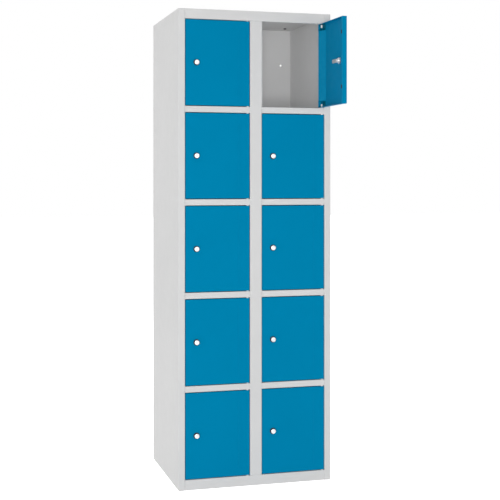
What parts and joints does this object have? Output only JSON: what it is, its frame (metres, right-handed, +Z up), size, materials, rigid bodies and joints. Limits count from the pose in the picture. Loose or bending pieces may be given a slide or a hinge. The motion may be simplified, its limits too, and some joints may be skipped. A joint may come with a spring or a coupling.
{
  "type": "compartment locker",
  "caption": "Tall steel locker: columns of square compartments in a welded sheet cabinet, each closed by an inset door that swings on pivot pins and fastens with a cam lock.",
  "frame": {"origin": "on the floor, under the middle of the cabinet's footprint, at the underside of the base channel", "axes": "+X to the right and -Y towards the viewer facing the doors, +Z up"},
  "size_m": [0.6, 0.7363, 1.8018],
  "materials": {
    "body_paint": "light grey powder coat, satin",
    "door_paint": "light blue powder coat, satin",
    "lock_chrome": "bright nickel plate",
    "cam_zinc": "zinc plate",
    "hinge_nylon": "white nylon sleeve on a steel pin",
    "plug_plastic": "black polyethylene"
  },
  "bodies": {
    "cabinet": {"left_side": "body_paint", "right_side": "body_paint", "back_panel": "body_paint", "roof": "body_paint", "floor_pan": "body_paint", "centre_partition": "body_paint", "centre_stile": "body_paint", "base_channel": "body_paint", "roof_plug_left": "plug_plastic", "roof_plug_right": "plug_plastic", "hinge_pin_left_1": "hinge_nylon", "hinge_pin_left_2": "hinge_nylon", "hinge_pin_left_3": "hinge_nylon", "hinge_pin_left_4": "hinge_nylon", "hinge_pin_left_5": "hinge_nylon", "hinge_pin_left_6": "hinge_nylon", "shelf_left_1": "body_paint", "shelf_left_2": "body_paint", "shelf_left_3": "body_paint", "shelf_left_4": "body_paint", "hinge_pin_right_1": "hinge_nylon", "hinge_pin_right_2": "hinge_nylon", "hinge_pin_right_3": "hinge_nylon", "hinge_pin_right_4": "hinge_nylon", "hinge_pin_right_5": "hinge_nylon", "hinge_pin_right_6": "hinge_nylon", "shelf_right_1": "body_paint", "shelf_right_2": "body_paint", "shelf_right_3": "body_paint", "shelf_right_4": "body_paint"},
    "door_left_1": {"door_left_1": "door_paint", "lock_housing_left_1": "lock_chrome"},
    "lock_left_1": {"lock_cam_left_1": "cam_zinc"},
    "door_left_2": {"door_left_2": "door_paint", "lock_housing_left_2": "lock_chrome"},
    "lock_left_2": {"lock_cam_left_2": "cam_zinc"},
    "door_left_3": {"door_left_3": "door_paint", "lock_housing_left_3": "lock_chrome"},
    "lock_left_3": {"lock_cam_left_3": "cam_zinc"},
    "door_left_4": {"door_left_4": "door_paint", "lock_housing_left_4": "lock_chrome"},
    "lock_left_4": {"lock_cam_left_4": "cam_zinc"},
    "door_left_5": {"door_left_5": "door_paint", "lock_housing_left_5": "lock_chrome"},
    "lock_left_5": {"lock_cam_left_5": "cam_zinc"},
    "door_right_1": {"door_right_1": "door_paint", "lock_housing_right_1": "lock_chrome"},
    "lock_right_1": {"lock_cam_right_1": "cam_zinc"},
    "door_right_2": {"door_right_2": "door_paint", "lock_housing_right_2": "lock_chrome"},
    "lock_right_2": {"lock_cam_right_2": "cam_zinc"},
    "door_right_3": {"door_right_3": "door_paint", "lock_housing_right_3": "lock_chrome"},
    "lock_right_3": {"lock_cam_right_3": "cam_zinc"},
    "door_right_4": {"door_right_4": "door_paint", "lock_housing_right_4": "lock_chrome"},
    "lock_right_4": {"lock_cam_right_4": "cam_zinc"},
    "door_right_5": {"door_right_5": "door_paint", "lock_housing_right_5": "lock_chrome"},
    "lock_right_5": {"lock_cam_right_5": "cam_zinc"}
  },
  "joints": [
    {"name": "door_left_1_hinge", "type": "hinge", "parent": "cabinet", "child": "door_left_1", "pos_m": [-0.0322, -0.245, 1.5995], "axis": [0, 0, 1], "range_deg": [0, 110]},
    {"name": "lock_left_1_turn", "type": "hinge", "parent": "door_left_1", "child": "lock_left_1", "pos_m": [-0.231, -0.25, 1.5995], "axis": [0, -1, 0], "range_deg": [0, 180]},
    {"name": "door_left_2_hinge", "type": "hinge", "parent": "cabinet", "child": "door_left_2", "pos_m": [-0.0322, -0.245, 1.2501], "axis": [0, 0, 1], "range_deg": [0, 110]},
    {"name": "lock_left_2_turn", "type": "hinge", "parent": "door_left_2", "child": "lock_left_2", "pos_m": [-0.231, -0.25, 1.2501], "axis": [0, -1, 0], "range_deg": [0, 180]},
    {"name": "door_left_3_hinge", "type": "hinge", "parent": "cabinet", "child": "door_left_3", "pos_m": [-0.0322, -0.245, 0.9007], "axis": [0, 0, 1], "range_deg": [0, 110]},
    {"name": "lock_left_3_turn", "type": "hinge", "parent": "door_left_3", "child": "lock_left_3", "pos_m": [-0.231, -0.25, 0.9007], "axis": [0, -1, 0], "range_deg": [0, 180]},
    {"name": "door_left_4_hinge", "type": "hinge", "parent": "cabinet", "child": "door_left_4", "pos_m": [-0.0322, -0.245, 0.5513], "axis": [0, 0, 1], "range_deg": [0, 110]},
    {"name": "lock_left_4_turn", "type": "hinge", "parent": "door_left_4", "child": "lock_left_4", "pos_m": [-0.231, -0.25, 0.5513], "axis": [0, -1, 0], "range_deg": [0, 180]},
    {"name": "door_left_5_hinge", "type": "hinge", "parent": "cabinet", "child": "door_left_5", "pos_m": [-0.0322, -0.245, 0.2019], "axis": [0, 0, 1], "range_deg": [0, 110]},
    {"name": "lock_left_5_turn", "type": "hinge", "parent": "door_left_5", "child": "lock_left_5", "pos_m": [-0.231, -0.25, 0.2019], "axis": [0, -1, 0], "range_deg": [0, 180]},
    {"name": "door_right_1_hinge", "type": "hinge", "parent": "cabinet", "child": "door_right_1", "pos_m": [0.2663, -0.245, 1.5995], "axis": [0, 0, 1], "range_deg": [-91.8, 18.2]},
    {"name": "lock_right_1_turn", "type": "hinge", "parent": "door_right_1", "child": "lock_right_1", "pos_m": [0.27754, -0.44354, 1.5995], "axis": [0.9995, 0.0314, 0], "range_deg": [0, 180]},
    {"name": "door_right_2_hinge", "type": "hinge", "parent": "cabinet", "child": "door_right_2", "pos_m": [0.2663, -0.245, 1.2501], "axis": [0, 0, 1], "range_deg": [0, 110]},
    {"name": "lock_right_2_turn", "type": "hinge", "parent": "door_right_2", "child": "lock_right_2", "pos_m": [0.0675, -0.25, 1.2501], "axis": [0, -1, 0], "range_deg": [0, 180]},
    {"name": "door_right_3_hinge", "type": "hinge", "parent": "cabinet", "child": "door_right_3", "pos_m": [0.2663, -0.245, 0.9007], "axis": [0, 0, 1], "range_deg": [0, 110]},
    {"name": "lock_right_3_turn", "type": "hinge", "parent": "door_right_3", "child": "lock_right_3", "pos_m": [0.0675, -0.25, 0.9007], "axis": [0, -1, 0], "range_deg": [0, 180]},
    {"name": "door_right_4_hinge", "type": "hinge", "parent": "cabinet", "child": "door_right_4", "pos_m": [0.2663, -0.245, 0.5513], "axis": [0, 0, 1], "range_deg": [0, 110]},
    {"name": "lock_right_4_turn", "type": "hinge", "parent": "door_right_4", "child": "lock_right_4", "pos_m": [0.0675, -0.25, 0.5513], "axis": [0, -1, 0], "range_deg": [0, 180]},
    {"name": "door_right_5_hinge", "type": "hinge", "parent": "cabinet", "child": "door_right_5", "pos_m": [0.2663, -0.245, 0.2019], "axis": [0, 0, 1], "range_deg": [0, 110]},
    {"name": "lock_right_5_turn", "type": "hinge", "parent": "door_right_5", "child": "lock_right_5", "pos_m": [0.0675, -0.25, 0.2019], "axis": [0, -1, 0], "range_deg": [0, 180]}
  ]
}
